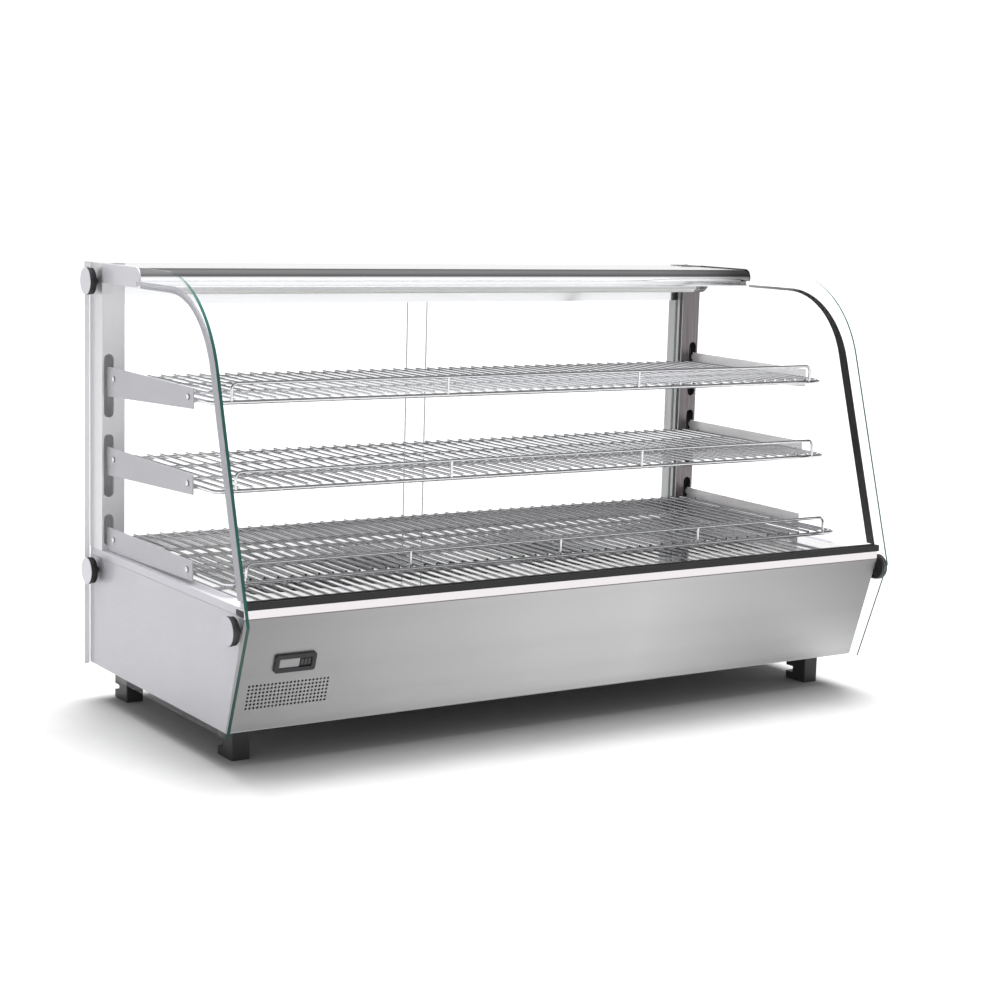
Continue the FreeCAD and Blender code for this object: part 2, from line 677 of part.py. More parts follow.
def arm_outline(z, drop):
    rear = POST_FRONT_Y - 0.2
    front = REAR_Y - ARM_FRONT
    return [(rear, z + 20.0), (front, z + 17.0), (front, z - drop[1]), (rear, z - drop[0])]


def rivet_places(z):
    """(y, z) of the two rivets in an arm."""
    return ((REAR_Y - 76.0, z + 3.0), (REAR_Y - 346.0, z + 3.0))


def bracket(side, shelf):
    """Tapered arm with tongues that hook into the post and a ledge the shelf lies on."""
    z = shelf["z"]
    arm = prism_x(arm_outline(z, shelf["drop"]), ARM_IN, ARM_OUT)
    ledge_z = z - FRAME_WIRE - 0.3
    ledge = block(ARM_IN - 13.0, ARM_IN + 0.5, REAR_Y - 350.0, POST_FRONT_Y - 12.0, ledge_z - 2.0, ledge_z)
    y0 = POST_FRONT_Y - 1.0
    y1 = POST_FRONT_Y + POST_WALL + 2.0
    tongues = [block(ARM_IN, ARM_OUT, y0, y1, z + low, z + low + 8.0) for low in (8.0, -6.0)]
    holes = [rod(vec(ARM_IN - 1, y, hz), vec(1, 0, 0), 5, 2.0) for y, hz in rivet_places(z)]
    return on_side(fused([arm, ledge] + tongues).cut(holes), side)


def bracket_rivets():
    rivets = []
    for shelf in SHELVES.values():
        for y, z in rivet_places(shelf["z"]):
            for side in (-1, 1):
                shank = rod(vec(ARM_IN, y, z), vec(1, 0, 0), ARM_OUT - ARM_IN, 2.0)
                head = rod(vec(ARM_OUT, y, z), vec(1, 0, 0), 1.8, 4.5)
                rim = [e for e in head.Edges if e.Length > 20 and e.BoundBox.XMin > ARM_OUT + 1.7]
                rivets.append(on_side(shank.fuse(head.makeFillet(1.2, rim)).removeSplitter(), side))
    return Part.makeCompound(rivets)


# ---- controller ---------------------------------------------------------------------------------
def key_hole(centre, gap, z0, z1):
    length, height = KEY
    return block(centre - length / 2 - gap, centre + length / 2 + gap,
                 -height / 2 - gap, height / 2 + gap, z0, z1)


def controller_bezel():
    length, height, proud = BEZEL
    plate = flat_plate(length, height, 0.0, proud, 4.0)
    pocket = flat_plate(length - 2 * BEZEL_RIM, height - 2 * BEZEL_RIM, BEZEL_FLOOR, proud + 1, 1.5)
    holes = [key_hole(x, KEY_GAP, -1, proud) for x in KEY_CENTRES]
    return on_slope(plate.cut([pocket] + holes), PANEL_CENTRE_X, PANEL_DOWN)


def controller_window():
    left = -BEZEL[0] / 2 + BEZEL_RIM + 0.2
    height = BEZEL[1] - 2 * BEZEL_RIM - 0.4
    length = WINDOW_LENGTH - 1.0
    pane = flat_plate(length, height, BEZEL_FLOOR, BEZEL_FLOOR + 0.9, 1.5)
    return on_slope(pane, PANEL_CENTRE_X + left + length / 2, PANEL_DOWN)


def controller_body():
    body = block(-28.0, 28.0, -12.0, 12.0, -40.0, 0.0)
    well = block(KEY_CENTRES[0] - 4.0, KEY_CENTRES[-1] + 4.0, -6.0, 6.0, -4.0, 1.0)
    return on_slope(body.cut(well), PANEL_CENTRE_X, PANEL_DOWN)


def controller_key(centre):
    return on_slope(key_hole(centre, 0.0, -1.6, BEZEL_FLOOR + 1.0), PANEL_CENTRE_X, PANEL_DOWN)


# ---- heating ------------------------------------------------------------------------------------
def heat_tray():
    """Tray under the deck that keeps the hot air away from the wiring, with stands for the heaters."""
    front = REAR_Y - TRAY_FRONT
    back = REAR_Y - TRAY_BACK
    top = PANEL_TOP_Z
    outer = block(-TRAY_HALF, TRAY_HALF, front, back, TRAY_Z, top)
    inner = block(-TRAY_HALF + TRAY_SHEET, TRAY_HALF - TRAY_SHEET, front + TRAY_SHEET, back - TRAY_SHEET,
                  TRAY_Z + TRAY_SHEET, top + 1)
    ports = [rod(vec(x, REAR_Y - FAN_BACK, TRAY_Z - 1), vec(0, 0, 1), 5, FAN_BORE) for x in BANK_CENTRES]
    pieces = [outer.cut([inner] + ports)]
    for centre in BANK_CENTRES:
        for offset in (-120.0, 120.0):
            for back_y in HEATER_LEGS:
                y = REAR_Y - back_y
                pieces.append(block(centre + offset - 2.0, centre + offset + 2.0, y - 8.0, y + 8.0,
                                    TRAY_Z + TRAY_SHEET - 0.5, HEATER_Z - HEATER_RADIUS))
    return fused(pieces)


def heater(centre):
    """Tubular element bent into a long U, with its two cold ends turned down."""
    near, far = [REAR_Y - back for back in HEATER_LEGS]
    left = centre - HEATER_HALF
    right = centre + HEATER_HALF
    low = HEATER_Z - 22.0
    path = [vec(left, near, low), vec(left, near, HEATER_Z), vec(right, near, HEATER_Z),
            vec(right, far, HEATER_Z), vec(left, far, HEATER_Z), vec(left, far, low)]
    return bent_wire(path, 15.0, HEATER_RADIUS)


def fan_frames():
    """Square frames under the tray, with a bearing seat on two crossed struts."""
    frames = []
    low = TRAY_Z - FAN_THICK
    y = REAR_Y - FAN_BACK
    half = FAN_SIZE / 2
    reach = half - 1.0
    for x in BANK_CENTRES:
        frame = block(x - half, x + half, y - half, y + half, low, TRAY_Z)
        frame = frame.cut(rod(vec(x, y, low - 1), vec(0, 0, 1), FAN_THICK + 2, FAN_BORE))
        seat = rod(vec(x, y, low), vec(0, 0, 1), 3.0, FAN_HUB)
        struts = [block(x - reach, x + reach, y - STRUT / 2, y + STRUT / 2, low, low + 3.0),
                  block(x - STRUT / 2, x + STRUT / 2, y - reach, y + reach, low, low + 3.0)]
        frames.append(fused([frame, seat] + struts))
    return Part.makeCompound(frames)


def fan_rotor(x):
    y = REAR_Y - FAN_BACK
    low = TRAY_Z - FAN_THICK + 4.0
    hub_height = 18.0
    pieces = [rod(vec(x, y, low), vec(0, 0, 1), hub_height, FAN_HUB)]
    for i in range(FAN_BLADES):
        blade = block(FAN_HUB - 2.0, FAN_TIP - 1.5, -BLADE_WIDTH / 2, BLADE_WIDTH / 2, -0.7, 0.7)
        blade.rotate(vec(0, 0, 0), vec(1, 0, 0), BLADE_PITCH)
        blade.rotate(vec(0, 0, 0), vec(0, 0, 1), 360.0 * i / FAN_BLADES)
        blade.translate(vec(x, y, low + hub_height / 2))
        pieces.append(blade)
    return fused(pieces)


def temperature_probe():
    start = vec(PROBE_X, REAR_Y - TRAY_BACK - TRAY_SHEET, PROBE_Z)
    stem = rod(start, vec(0, -1, 0), PROBE_REACH, 3.0)
    collar = rod(start, vec(0, -1, 0), 5.0, 7.0)
    return fused([collar, stem])


def terminal_block():
    y0 = REAR_Y - 90.0
    z0 = PAN_Z + PAN_SHEET
    length = TERMINAL_WAYS * TERMINAL_PITCH
    body = block(TERMINAL_X, TERMINAL_X + length, y0, y0 + 24.0, z0, z0 + 18.0)
    screws = []
    for way in range(TERMINAL_WAYS):
        x = TERMINAL_X + TERMINAL_PITCH * (way + 0.5)
        for y in (y0 + 6.0, y0 + 18.0):
            screws.append(rod(vec(x, y, z0 + 16.0), vec(0, 0, 1), 4.0, 3.0))
    return fused([body] + screws)


# ---- lamp under the canopy ----------------------------------------------------------------------
def lamp_housing():
    y1 = REAR_Y - LAMP_BACK
    return block(-LAMP_HALF, LAMP_HALF, y1 - LAMP_DEPTH, y1, CANOPY_Z - LAMP_HOUSING, CANOPY_Z)


def lamp_diffuser():
    """Frosted cover that clips under the housing, rounded along its lower edges."""
    half = LAMP_HALF - 2.0
    y1 = REAR_Y - LAMP_BACK - 2.0
    top = CANOPY_Z - LAMP_HOUSING
    low = top - LAMP_DIFFUSER
    diffuser = block(-half, half, y1 - LAMP_DEPTH + 4.0, y1, low, top)
    lower = [e for e in diffuser.Edges if e.Length > half and e.BoundBox.ZMax < low + 0.1]
    return diffuser.makeFillet(3.0, lower)


# ---- rear panel fittings ------------------------------------------------------------------------
def fitting_block(x, z, half, y0, y1):
    """A block centred on (x, z) with the given half width and half height."""
    return block(x - half[0], x + half[0], y0, y1, z - half[1], z + half[1])


def switch_housing():
    face = REAR_PANEL_Y
    flange = fitting_block(SWITCH_X, SWITCH_Z, SWITCH_FLANGE, face, face + 1.6)
    body = fitting_block(SWITCH_X, SWITCH_Z, SWITCH_BODY, face - 20.0, face)
    well = fitting_block(SWITCH_X, SWITCH_Z, (ROCKER_WIDTH / 2 + 0.4, 9.6), face - 12.0, face + 3.0)
    return fused([flange, body]).cut(well)


def power_rocker():
    outline = [(-4.0, -5.0), (2.6, -8.6), (1.4, 0.0), (2.6, 8.6), (-4.0, 5.0)]
    points = [(ROCKER_PIVOT_Y + y, SWITCH_Z + z) for y, z in outline]
    half = ROCKER_WIDTH / 2
    rocker = prism_x(points, SWITCH_X - half, SWITCH_X + half)
    rocker.rotate(vec(SWITCH_X, ROCKER_PIVOT_Y, SWITCH_Z), vec(1, 0, 0), -ROCKER_TILT)
    return rocker


def power_inlet():
    """Appliance inlet in the rear panel: a shrouded well with three flat pins."""
    face = REAR_PANEL_Y
    flange = fitting_block(INLET_X, INLET_Z, INLET_FLANGE, face, face + 2.0)
    body = fitting_block(INLET_X, INLET_Z, INLET_BODY, face - 22.0, face)
    well = fitting_block(INLET_X, INLET_Z, INLET_WELL, face - 17.0, face + 3.0)
    pins = []
    for x, z in ((-7.0, -2.0), (0.0, 2.0), (7.0, -2.0)):
        pins.append(block(INLET_X + x - 1.0, INLET_X + x + 1.0, face - 18.0, face - 4.0,
                          INLET_Z + z - 2.0, INLET_Z + z + 2.0))
    return fused([fused([flange, body]).cut(well)] + pins)


# ---- the whole case -----------------------------------------------------------------------------
def main():
    os.makedirs("parts", exist_ok=True)
    sides = {"left": -1, "right": 1}

    save("base_pan", base_pan())
    save("front_panel", front_panel())
    save("rear_panel", rear_panel())
    save("deck_plate", deck_plate())
    save("feet", feet())
    save("front_glass", front_glass())
    save("sill_seal", sill_seal())
    save("canopy", canopy())
    save("canopy_nose", canopy_nose())
    save("canopy_end_caps", canopy_end_caps())
    save("door_track_top", door_track(CANOPY_Z - 3.0, CANOPY_Z - 0.2, TRACK_TOP_Z0, CANOPY_Z - 0.2))
    save("door_track_bottom", door_track(DECK_Z, DECK_Z + 2.0, DECK_Z, DECK_Z + 12.0))
    save("glass_caps", Part.makeCompound([glass_cap(s, b, z) for s in (-1, 1) for b, z in FIXINGS]))
    save("glass_washers", Part.makeCompound([glass_washer(s, b, z) for s in (-1, 1) for b, z in FIXINGS]))
    save("bracket_rivets", bracket_rivets())

    for name, side in sides.items():
        save("side_glass_" + name, on_side(side_glass(), side))
        save("side_panel_" + name, side_panel(side))
        save("glass_seal_" + name, on_side(edge_seal(), side))
        save("post_" + name, post(side))
        save("door_glass_" + name, door_glass(side))
        save("door_handle_" + name, door_handle(side))
        save("door_glides_" + name, door_glides(side))
        for level, shelf in SHELVES.items():
            save("bracket_" + level + "_" + name, bracket(side, shelf))

    for level, shelf in SHELVES.items():
        save("shelf_" + level, shelf_grid(shelf))
        save("guard_" + level, shelf_guard(shelf))

    save("controller_bezel", controller_bezel())
    save("controller_window", controller_window())
    save("controller_body", controller_body())
    for number, centre in enumerate(KEY_CENTRES, 1):
        save("controller_key_" + str(number), controller_key(centre))

    save("heat_tray", heat_tray())
    save("fan_frames", fan_frames())
    for name, centre in zip(sides, BANK_CENTRES):
        save("heater_" + name, heater(centre))
        save("fan_rotor_" + name, fan_rotor(centre))
    save("temperature_probe", temperature_probe())
    save("terminal_block", terminal_block())
    save("lamp_housing", lamp_housing())
    save("lamp_diffuser", lamp_diffuser())
    save("switch_housing", switch_housing())
    save("power_rocker", power_rocker())
    save("power_inlet", power_inlet())


main()
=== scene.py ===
# %% [markdown]
# # A counter-top hot food display case, dressed in a studio
# The case is a sheet-steel base with a hot deck, three wire shelves on hook-in brackets, a curved
# front pane, two clear side panes and sliding glass doors on the serving side. Its shape already
# exists as a packed set of solid parts. This lesson loads them, gives every part a finish built from
# shader nodes, adds the small fastenings a real case has, and lights the result.
# Loading the parts comes first, because every later place and size is read from them.

# %% Load the case
import math
import bmesh
import bpy
from mathutils import Matrix, Vector


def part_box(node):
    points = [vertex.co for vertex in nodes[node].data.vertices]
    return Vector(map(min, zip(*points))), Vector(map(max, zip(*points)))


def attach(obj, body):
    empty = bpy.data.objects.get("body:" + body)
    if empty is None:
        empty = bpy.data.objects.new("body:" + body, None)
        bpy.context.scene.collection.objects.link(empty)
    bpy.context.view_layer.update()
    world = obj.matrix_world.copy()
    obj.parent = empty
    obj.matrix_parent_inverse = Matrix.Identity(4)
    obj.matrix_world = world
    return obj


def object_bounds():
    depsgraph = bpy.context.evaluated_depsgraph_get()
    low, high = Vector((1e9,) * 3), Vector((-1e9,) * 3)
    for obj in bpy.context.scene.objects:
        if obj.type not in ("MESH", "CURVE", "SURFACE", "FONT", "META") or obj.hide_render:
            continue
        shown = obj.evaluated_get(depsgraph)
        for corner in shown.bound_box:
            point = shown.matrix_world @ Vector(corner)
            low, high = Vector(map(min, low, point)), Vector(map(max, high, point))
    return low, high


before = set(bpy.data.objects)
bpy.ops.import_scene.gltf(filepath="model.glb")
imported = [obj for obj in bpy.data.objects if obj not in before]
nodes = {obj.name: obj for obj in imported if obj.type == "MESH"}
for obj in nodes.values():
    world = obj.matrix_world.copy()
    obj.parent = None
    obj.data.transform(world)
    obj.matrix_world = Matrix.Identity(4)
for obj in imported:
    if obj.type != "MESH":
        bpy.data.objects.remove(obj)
case_low, case_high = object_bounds()
print("parts loaded:", len(nodes))
print("case box:", [round(v, 4) for v in case_low], [round(v, 4) for v in case_high])

# %% [markdown]
# ## The camera
# The case is seen from its front left corner, slightly above the top shelf, through a long lens, so
# that its long edges stay nearly parallel. A camera object points down its own -Z axis with +Y up. It
# could be aimed with a constraint, but here its three axes are worked out from a heading, a downward
# tilt and a small roll, which keeps the view exactly the same on each run.

# %% Place the camera
HEADING = math.radians(33.22)
TILT = math.radians(8.56)
ROLL = math.radians(1.66)
LENS_MM = 75.15
SENSOR_MM = 36.0
CAMERA_PLACE = (-1.8157, -2.778, 0.8197)
camera_data = bpy.data.cameras.new("case_camera")
camera_data.lens = LENS_MM
camera_data.sensor_width = SENSOR_MM
camera = bpy.data.objects.new("case_camera", camera_data)
bpy.context.scene.collection.objects.link(camera)
forward = Vector((math.sin(HEADING) * math.cos(TILT), math.cos(HEADING) * math.cos(TILT), -math.sin(TILT)))
level_right = Vector((math.cos(HEADING), -math.sin(HEADING), 0.0))
level_up = level_right.cross(forward)
right = level_right * math.cos(ROLL) + level_up * math.sin(ROLL)
up = level_up * math.cos(ROLL) - level_right * math.sin(ROLL)
aim = Matrix((right, up, -forward)).transposed().to_4x4()
camera.matrix_world = Matrix.Translation(CAMERA_PLACE) @ aim
bpy.context.scene.camera = camera
print("camera looks along", [round(v, 3) for v in forward])

# %% [markdown]
# ## Floor, tent and lamps
# Polished steel and glass are shown on a pale sweep inside a white tent: the metal then mirrors white
# walls instead of a room. The tent is a plain bright world and the sweep is one large sheet. The soft
# dark shadow round the case comes from two broad lamps above and behind it. Sun lamps are used for
# them, because they light the whole sweep evenly, however far away, and their angle sets how soft the
# shadow is. They are left out of the metal's reflections, which come from the tent alone. Standard
# view colours keep the sweep white.

# %% Build the sweep, the tent and the lamps
scene = bpy.context.scene
scene.view_settings.view_transform = "Standard"
world = bpy.data.worlds.new("white_tent")
scene.world = world
world.use_nodes = True
tent = world.node_tree.nodes["Background"]
tent.inputs["Color"].default_value = (1.0, 1.0, 1.0, 1.0)
TENT_BRIGHTNESS = 1.06
tent.inputs["Strength"].default_value = TENT_BRIGHTNESS


def broad_lamp(name, comes_from, strength, softness):
    """An even, far away lamp; softness is the angle it fills, in degrees."""
    data = bpy.data.lights.new(name, "SUN")
    data.energy = strength
    data.angle = math.radians(softness)
    obj = bpy.data.objects.new(name, data)
    scene.collection.objects.link(obj)
    obj.rotation_mode = "QUATERNION"
    obj.rotation_quaternion = (-Vector(comes_from)).to_track_quat("-Z", "Y")
    obj.visible_glossy = False


broad_lamp("lamp_above", (0.10, 0.05, 1.0), 7.5, 55.0)
broad_lamp("lamp_behind", (0.22, 0.35, 1.0), 7.5, 40.0)
sweep_mesh = bpy.data.meshes.new("floor_sweep")
HALF_WIDTH = 14.0
BELOW_FEET = -0.0005
corners = [(x * HALF_WIDTH, y * HALF_WIDTH, BELOW_FEET) for x, y in ((-1, -1), (1, -1), (1, 1), (-1, 1))]
sweep_mesh.from_pydata(corners, [], [(0, 1, 2, 3)])
sweep = bpy.data.objects.new("floor_sweep", sweep_mesh)
scene.collection.objects.link(sweep)
print("sweep is", 2 * HALF_WIDTH, "m wide")

# %% [markdown]
# ### The tent that the metal sees
# Chrome in a perfectly even tent has nothing to mirror and goes flat. So the tent's roof is dark and
# only its walls are white: each wire then gets a dark line along its top beside a bright one. Roof and
# walls are a dome that only reflections can see: the camera and the matt surfaces look through it.

# %% Hang the dark roof
DOME_RADIUS = 12.0
ball = bmesh.new()
bmesh.ops.create_uvsphere(ball, u_segments=64, v_segments=32, radius=DOME_RADIUS)
dome_mesh = bpy.data.meshes.new("tent_dome")
ball.to_mesh(dome_mesh)
ball.free()
dome = bpy.data.objects.new("tent_dome", dome_mesh)
scene.collection.objects.link(dome)
dome.visible_camera = False
dome.visible_diffuse = False
dome.visible_shadow = False
cloth = bpy.data.materials.new("tent_cloth")
cloth.use_nodes = True
cloth.cycles.emission_sampling = "NONE"
tree = cloth.node_tree
tree.nodes.remove(tree.nodes["Principled BSDF"])
places = tree.nodes.new("ShaderNodeTexCoord")
split = tree.nodes.new("ShaderNodeSeparateXYZ")
tree.links.new(places.outputs["Object"], split.inputs["Vector"])
height = tree.nodes.new("ShaderNodeMath")
height.operation = "DIVIDE"
height.inputs[1].default_value = DOME_RADIUS
tree.links.new(split.outputs["Z"], height.inputs[0])
bands = tree.nodes.new("ShaderNodeValToRGB")
stops = bands.color_ramp.elements
ROOF_TONES = ((0.27, 1.0), (0.33, 0.14), (0.60, 0.16), (0.85, 0.28), (1.0, 0.34))
while len(stops) < len(ROOF_TONES):
    stops.new(0.5)
for stop, (sine, tone) in zip(stops, ROOF_TONES):
    stop.position = sine
    stop.color = (tone, tone, tone, 1.0)
tree.links.new(height.outputs[0], bands.inputs["Fac"])
glow = tree.nodes.new("ShaderNodeEmission")
glow.inputs["Strength"].default_value = 1.0
tree.links.new(bands.outputs["Color"], glow.inputs["Color"])
tree.links.new(glow.outputs["Emission"], tree.nodes["Material Output"].inputs["Surface"])
dome_mesh.materials.append(cloth)
print("the roof starts", round(math.degrees(math.asin(ROOF_TONES[0][0]))), "degrees above the floor")

# %% [markdown]
# ## A kit for the finishes
# Every finish here starts from one Principled shader. Most of them are the same idea with different
# numbers: a pattern in the object's own coordinates moves the colour a little, the roughness a little
# and the surface height a very little. The object's own coordinates are metres of the real case, so a
# pattern keeps its true scale on every part and does not stretch.


# %% Helpers that build node trees
def finish_named(name):
    """A new material with its tree, its Principled shader and its object coordinates."""
    material = bpy.data.materials.new(name)
    material.use_nodes = True
    tree = material.node_tree
    shader = tree.nodes["Principled BSDF"]
    places = tree.nodes.new("ShaderNodeTexCoord")
    return material, tree, shader, places


def noise(tree, places, stretch, scale, detail=3.0):
    """Noise in metres of the real case, stretched by three factors."""
    mapping = tree.nodes.new("ShaderNodeMapping")
    mapping.inputs["Scale"].default_value = stretch
    tree.links.new(places.outputs["Object"], mapping.inputs["Vector"])
    texture = tree.nodes.new("ShaderNodeTexNoise")
    texture.inputs["Scale"].default_value = scale
    texture.inputs["Detail"].default_value = detail
    tree.links.new(mapping.outputs["Vector"], texture.inputs["Vector"])
    return texture.outputs["Fac"]


def ramp(tree, factor, stops):
    """A colour ramp; each stop is (place, grey or colour)."""
    node = tree.nodes.new("ShaderNodeValToRGB")
    elements = node.color_ramp.elements
    while len(elements) < len(stops):
        elements.new(0.5)
    for element, (place, tone) in zip(elements, stops):
        element.position = place
        colour = tone if isinstance(tone, tuple) else (tone, tone, tone)
        element.color = (*colour, 1.0)
    tree.links.new(factor, node.inputs["Fac"])
    return node.outputs["Color"]


def scaled(tree, factor, low, high):
    """A pattern between 0 and 1 moved to run from low to high."""
    node = tree.nodes.new("ShaderNodeMapRange")
    node.inputs["To Min"].default_value = low
    node.inputs["To Max"].default_value = high
    tree.links.new(factor, node.inputs["Value"])
    return node.outputs["Result"]


def multiplied(tree, first, second):
    """Two colours multiplied."""
    node = tree.nodes.new("ShaderNodeMix")
    node.data_type = "RGBA"
    node.blend_type = "MULTIPLY"
    node.inputs["Factor"].default_value = 1.0
    tree.links.new(first, node.inputs["A"])
    tree.links.new(second, node.inputs["B"])
    return node.outputs["Result"]


def bumped(tree, shader, height, depth):
    """Surface relief of a real depth in metres."""
    node = tree.nodes.new("ShaderNodeBump")
    node.inputs["Distance"].default_value = depth
    node.inputs["Strength"].default_value = 1.0
    tree.links.new(height, node.inputs["Height"])
    tree.links.new(node.outputs["Normal"], shader.inputs["Normal"])


def surfaced(tree, shader, colour, pattern, metal, rough, depth):
    """Colour, metal share, roughness and relief of a finish; one pattern moves the last two."""
    tree.links.new(colour, shader.inputs["Base Color"])
    shader.inputs["Metallic"].default_value = metal
    tree.links.new(scaled(tree, pattern, *rough), shader.inputs["Roughness"])
    bumped(tree, shader, pattern, depth)


def textured(name, colour, spread, metal, rough, stretch, scale, depth=0.00001):
    """The common finish: colour, roughness and relief all follow one fine pattern and one cloudy one."""
    material, tree, shader, places = finish_named(name)
    fine = noise(tree, places, stretch, scale)
    cloudy = noise(tree, places, (1.0, 1.0, 1.0), 5.0)
    low = tuple(c * (1.0 - spread) for c in colour)
    high = tuple(min(1.0, c * (1.0 + spread)) for c in colour)
    base = ramp(tree, fine, [(0.3, low), (0.7, high)])
    base = multiplied(tree, base, ramp(tree, cloudy, [(0.3, 0.94), (0.7, 1.0)]))
    surfaced(tree, shader, base, fine, metal, rough, depth)
    return material


def give(material, *names):
    """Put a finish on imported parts."""
    for name in names:
        slots = nodes[name].data.materials
        slots.clear()
        slots.append(material)
    print(material.name, "->", ", ".join(names))


# %% [markdown]
# ## The sweep's paper
# The floor is matt pale paper, lit strongly enough to read as white. A little noise keeps it from
# being a perfectly dead surface.

# %% Finish the sweep
paper = textured("pale_paper", (0.26, 0.26, 0.26), 0.01, 0.0, (0.95, 1.0), (1.0, 1.0, 1.0), 30.0)
sweep.data.materials.append(paper)
print(paper.name, "->", sweep.name)

# %% [markdown]
# ### Telling faces apart
# One part often carries two finishes, such as a bright face beside a dull one. The mesh could be split
# and given two materials, but here the tree asks where a point is and which way its surface looks, and
# picks a tone by simple arithmetic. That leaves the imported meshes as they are.


# %% Helpers that read places and directions
def math_node(tree, operation, first, second=None, clamp=False):
    """One step of arithmetic on a socket."""
    node = tree.nodes.new("ShaderNodeMath")
    node.operation = operation
    node.use_clamp = clamp
    tree.links.new(first, node.inputs[0])
    if isinstance(second, (int, float)):
        node.inputs[1].default_value = second
    elif second is not None:
        tree.links.new(second, node.inputs[1])
    return node.outputs[0]


def parts_of(tree, socket):
    """X, Y and Z of a vector."""
    node = tree.nodes.new("ShaderNodeSeparateXYZ")
    tree.links.new(socket, node.inputs["Vector"])
    return node.outputs


def chosen(tree, share, first, second):
    """The first colour where share is 0, the second where it is 1."""
    node = tree.nodes.new("ShaderNodeMix")
    node.data_type = "RGBA"
    tree.links.new(share, node.inputs["Factor"])
    for name, colour in (("A", first), ("B", second)):
        if isinstance(colour, tuple):
            node.inputs[name].default_value = (*colour, 1.0)
        else:
            tree.links.new(colour, node.inputs[name])
    return node.outputs["Result"]


def progress(tree, value, start, end):
    """How far a value has gone from start to end, between 0 and 1."""
    node = tree.nodes.new("ShaderNodeMapRange")
    node.inputs["From Min"].default_value = start
    node.inputs["From Max"].default_value = end
    tree.links.new(value, node.inputs["Value"])
    return node.outputs["Result"]


def looking_back(tree, places):
    """1 where a surface looks to the rear of the case, 0 elsewhere."""
    return math_node(tree, "GREATER_THAN", parts_of(tree, places.outputs["Normal"])["Y"], 0.5)


# %% [markdown]
# ## Brushed front panel
# The front is stainless sheet brushed along its length. Brushing is thousands of fine parallel
# scratches, so the pattern is noise squeezed hard across the grain and drawn out along it. A ramp along
# the length paints a soft studio reflection into the colour, darker towards both ends. The sheet leans
# over its own shadow and mirrors it, so a second ramp paints light into its tone towards the foot.
# Above the fold it stands upright and mirrors the bright tent; that strip is painted brighter, which
# the height of a point tells, and the fold itself is a fine line of painted shade.

# %% Finish the front panel
front_steel, tree, shader, places = finish_named("brushed_front_steel")
grain = noise(tree, places, (0.6, 60.0, 60.0), 22.0, 6.0)
place = parts_of(tree, places.outputs["Object"])
PAINTED_REFLECTION_STOPS = [(0.0, 0.50), (0.25, 0.76), (0.44, 0.92), (0.6, 0.98), (0.76, 0.75), (1.0, 0.43)]
PAINTED_FOOT_LIGHT_STOPS = [(0.08, 1.0), (0.22, 0.805), (0.36, 0.69), (0.5, 0.595), (0.92, 0.49)]
STRIP_ABOVE_FOLD = 0.0135
# Painted reflection: a ramp along the length, darker towards both ends.
painted_light = ramp(tree, progress(tree, place["X"], case_low.x, case_high.x), PAINTED_REFLECTION_STOPS)
panel_low, panel_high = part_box("front_panel")
FOLD_HEIGHT = panel_high.z - STRIP_ABOVE_FOLD
# Painted light: a ramp up the height brightens the foot against the shadow the sheet mirrors.
painted_foot_light = ramp(tree, progress(tree, place["Z"], panel_low.z, FOLD_HEIGHT), PAINTED_FOOT_LIGHT_STOPS)
painted_light = multiplied(tree, painted_light, painted_foot_light)
# The upright strip above the fold is painted brighter: a painted reflection of the tent.
above_fold = math_node(tree, "GREATER_THAN", place["Z"], FOLD_HEIGHT)
tone = chosen(tree, above_fold, painted_light, (0.72, 0.69, 0.70))
# The fold is a fine line of painted shade.
FOLD_SHADE_WIDTH = 0.0009
off_fold = math_node(tree, "ABSOLUTE", math_node(tree, "SUBTRACT", place["Z"], FOLD_HEIGHT))
tone = chosen(tree, math_node(tree, "LESS_THAN", off_fold, FOLD_SHADE_WIDTH), tone, (0.20, 0.18, 0.185))
streaks = ramp(tree, grain, [(0.3, 0.96), (0.7, 1.0)])
surfaced(tree, shader, multiplied(tree, tone, streaks), grain, 1.0, (0.28, 0.42), 0.000004)
give(front_steel, "front_panel")

# %% [markdown]
# ## The other sheet metal
# The side panels are coated in a satin light grey with a cool cast. The pan and the rear panel are
# plain galvanised sheet, and the heat tray is aluminised, to throw heat up. The canopy and the door
# tracks are drawn aluminium; the canopy's rear face gets painted shade, a darker tone so that it does
# not vanish white on white against the tent. The lamp housing under the canopy is coated white.

# %% Finish the sheet metal
side_coat = textured("satin_side_coat", (0.418, 0.414, 0.446), 0.008, 0.35, (0.38, 0.44), (1, 1, 1), 260.0,
                     0.0000001)
give(side_coat, "side_panel_left", "side_panel_right")
galvanised = textured("galvanised_sheet", (0.52, 0.53, 0.54), 0.08, 0.9, (0.38, 0.55), (1, 1, 1), 60.0)
give(galvanised, "base_pan", "rear_panel")
aluminised = textured("aluminised_tray", (0.85, 0.85, 0.86), 0.04, 0.2, (0.4, 0.5), (1, 1, 1), 80.0)
give(aluminised, "heat_tray")
drawn = textured("drawn_aluminium", (0.86, 0.86, 0.88), 0.015, 1.0, (0.10, 0.16), (0.3, 12, 12), 12.0,
                 0.000003)
give(drawn, "door_track_top", "door_track_bottom")
canopy_skin, tree, shader, places = finish_named("drawn_canopy_aluminium")
lines = noise(tree, places, (0.3, 12, 12), 12.0)
bright = ramp(tree, lines, [(0.3, (0.85, 0.85, 0.87)), (0.7, (0.87, 0.87, 0.89))])
